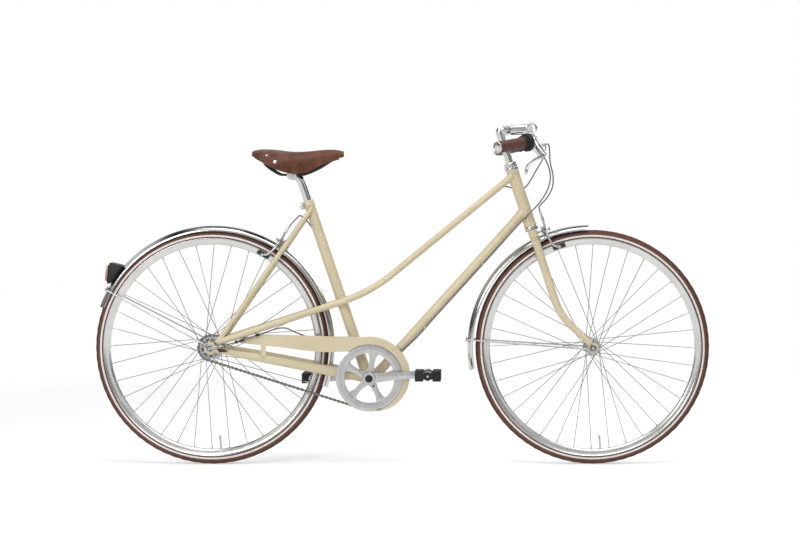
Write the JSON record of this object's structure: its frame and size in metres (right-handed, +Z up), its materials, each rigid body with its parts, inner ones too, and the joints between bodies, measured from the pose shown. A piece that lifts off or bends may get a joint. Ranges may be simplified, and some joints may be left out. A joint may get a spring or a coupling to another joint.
{
  "type": "city bicycle",
  "caption": "Step-through city bicycle with a mixte frame, swept-back handlebar, mudguards, chain guard, hub gear and caliper brakes on both wheels.",
  "frame": {"origin": "on the ground, midway between the two wheel axles, in the bicycle's middle plane", "axes": "+X points the way the bicycle rides, +Y to its left, +Z up"},
  "size_m": [1.81, 0.524, 1.0069],
  "materials": {
    "cream_paint": "glossy cream enamel on steel tube",
    "chrome": "polished chrome plating",
    "aluminium": "polished alloy",
    "steel": "bright zinc-plated steel",
    "brown_rubber": "matt brown rubber",
    "brown_leather": "semi-matt brown leather",
    "black_plastic": "black plastic",
    "black_steel": "black painted steel",
    "grey_housing": "grey plastic-coated cable housing",
    "red_lens": "clear red plastic"
  },
  "bodies": {
    "frame": {"head_tube": "cream_paint", "down_tube": "cream_paint", "seat_tube": "cream_paint", "seat_clamp_bolt": "chrome", "bottom_bracket_shell": "cream_paint", "lateral_tube_left": "cream_paint", "lateral_tube_right": "cream_paint", "seat_stay_left": "cream_paint", "seat_stay_right": "cream_paint", "chain_stay_left": "cream_paint", "chain_stay_right": "cream_paint", "brake_bridge": "cream_paint", "headset_cup_upper": "chrome", "headset_cup_lower": "chrome", "chain_guard": "cream_paint", "rear_mudguard": "chrome", "rear_mudguard_stay": "steel", "rear_light": "black_plastic", "rear_light_lens": "red_lens", "chain": "steel", "rear_brake_cable": "grey_housing", "shift_cable": "grey_housing", "rear_axle": "steel"},
    "fork": {"fork_steerer": "cream_paint", "fork_blade_left": "cream_paint", "fork_blade_right": "cream_paint", "headset_locknut": "chrome", "stem": "chrome", "handlebar": "chrome", "grip_left": "brown_rubber", "grip_right": "brown_rubber", "lever_bracket_left": "chrome", "lever_bracket_right": "chrome", "front_mudguard": "chrome", "front_mudguard_stay": "steel", "front_brake_cable": "grey_housing", "front_axle": "steel"},
    "front_wheel": {"front_tyre": "brown_rubber", "front_rim": "aluminium", "front_hub": "aluminium"},
    "rear_wheel": {"rear_tyre": "brown_rubber", "rear_rim": "aluminium", "rear_hub": "aluminium"},
    "sprocket": {"rear_sprocket": "steel"},
    "crank": {"crank_axle": "steel", "crank_right": "aluminium", "crank_left": "aluminium", "chainring": "aluminium"},
    "pedal_right_body": {"pedal_right": "black_plastic"},
    "pedal_left_body": {"pedal_left": "black_plastic"},
    "seat_post_body": {"seat_post": "chrome"},
    "saddle_body": {"saddle": "brown_leather", "saddle_frame": "black_steel"},
    "shifter": {"twist_shifter": "black_plastic"},
    "lever_right": {"brake_lever_right": "chrome"},
    "lever_left": {"brake_lever_left": "chrome"},
    "front_arm_right": {"front_brake_arm_right": "aluminium"},
    "front_arm_left": {"front_brake_arm_left": "aluminium"},
    "rear_arm_right": {"rear_brake_arm_right": "aluminium"},
    "rear_arm_left": {"rear_brake_arm_left": "aluminium"}
  },
  "joints": [
    {"name": "steering", "type": "hinge", "parent": "frame", "child": "fork", "pos_m": [0.50209, 0, 0.32585], "axis": [-0.314, 0, 0.9494], "range_deg": [-65, 65], "deforming": ["shift_cable", "rear_brake_cable"]},
    {"name": "front_wheel_spin", "type": "hinge", "parent": "fork", "child": "front_wheel", "pos_m": [0.56, 0, 0.345], "axis": [0, 1, 0], "continuous": true},
    {"name": "rear_wheel_spin", "type": "hinge", "parent": "frame", "child": "rear_wheel", "pos_m": [-0.56, 0, 0.345], "axis": [0, 1, 0], "continuous": true},
    {"name": "crank_spin", "type": "hinge", "parent": "frame", "child": "crank", "pos_m": [-0.09474, 0, 0.2576], "axis": [0, 1, 0], "continuous": true, "deforming": ["chain"]},
    {"name": "sprocket_spin", "type": "hinge", "parent": "frame", "child": "sprocket", "pos_m": [-0.56, 0, 0.345], "axis": [0, 1, 0], "continuous": true},
    {"name": "pedal_right_spin", "type": "hinge", "parent": "crank", "child": "pedal_right_body", "pos_m": [0.07967, -0.122, 0.27194], "axis": [0, 1, 0], "continuous": true},
    {"name": "pedal_left_spin", "type": "hinge", "parent": "crank", "child": "pedal_left_body", "pos_m": [-0.26915, 0.122, 0.24326], "axis": [0, 1, 0], "continuous": true},
    {"name": "seat_height", "type": "slide", "parent": "frame", "child": "seat_post_body", "axis": [-0.3206, 0, 0.9472], "range_m": [-0.028, 0.06]},
    {"name": "saddle_tilt", "type": "hinge", "parent": "seat_post_body", "child": "saddle_body", "pos_m": [-0.32593, 0, 0.85237], "axis": [0, 1, 0], "range_deg": [-10, 10]},
    {"name": "gear_twist", "type": "hinge", "parent": "fork", "child": "shifter", "pos_m": [0.28201, -0.25, 0.92905], "axis": [-0.6829, -0.7187, -0.1308], "range_deg": [-45, 45]},
    {"name": "lever_right_squeeze", "type": "hinge", "parent": "fork", "child": "lever_right", "pos_m": [0.41361, -0.14, 0.90965], "axis": [-0.6191, 0.6708, -0.4083], "range_deg": [0, 25], "stiffness_Nm_per_rad": 0.6, "springref_deg": -11.46},
    {"name": "lever_left_squeeze", "type": "hinge", "parent": "fork", "child": "lever_left", "pos_m": [0.41361, 0.14, 0.90965], "axis": [0.6191, 0.6708, 0.4083], "range_deg": [0, 25], "stiffness_Nm_per_rad": 0.6, "springref_deg": -11.46},
    {"name": "front_arm_right_swing", "type": "hinge", "parent": "fork", "child": "front_arm_right", "pos_m": [0.40275, 0, 0.68354], "axis": [0.9494, 0, 0.314], "range_deg": [0, 2.5]},
    {"name": "front_arm_left_swing", "type": "hinge", "parent": "fork", "child": "front_arm_left", "pos_m": [0.40275, 0, 0.68354], "axis": [0.9494, 0, 0.314], "range_deg": [-2.5, 0]},
    {"name": "rear_arm_right_swing", "type": "hinge", "parent": "frame", "child": "rear_arm_right", "pos_m": [-0.34368, 0, 0.64399], "axis": [-0.8225, 0, 0.5687], "range_deg": [-2.5, 0]},
    {"name": "rear_arm_left_swing", "type": "hinge", "parent": "frame", "child": "rear_arm_left", "pos_m": [-0.34368, 0, 0.64399], "axis": [-0.8225, 0, 0.5687], "range_deg": [0, 2.5]}
  ],
  "couplings": [
    {"joint": "sprocket_spin", "follows": "crank_spin", "ratio": 2.5556},
    {"joint": "front_arm_right_swing", "follows": "lever_right_squeeze", "ratio": 0.096},
    {"joint": "front_arm_left_swing", "follows": "lever_right_squeeze", "ratio": -0.096},
    {"joint": "rear_arm_right_swing", "follows": "lever_left_squeeze", "ratio": -0.096},
    {"joint": "rear_arm_left_swing", "follows": "lever_left_squeeze", "ratio": 0.096}
  ]
}
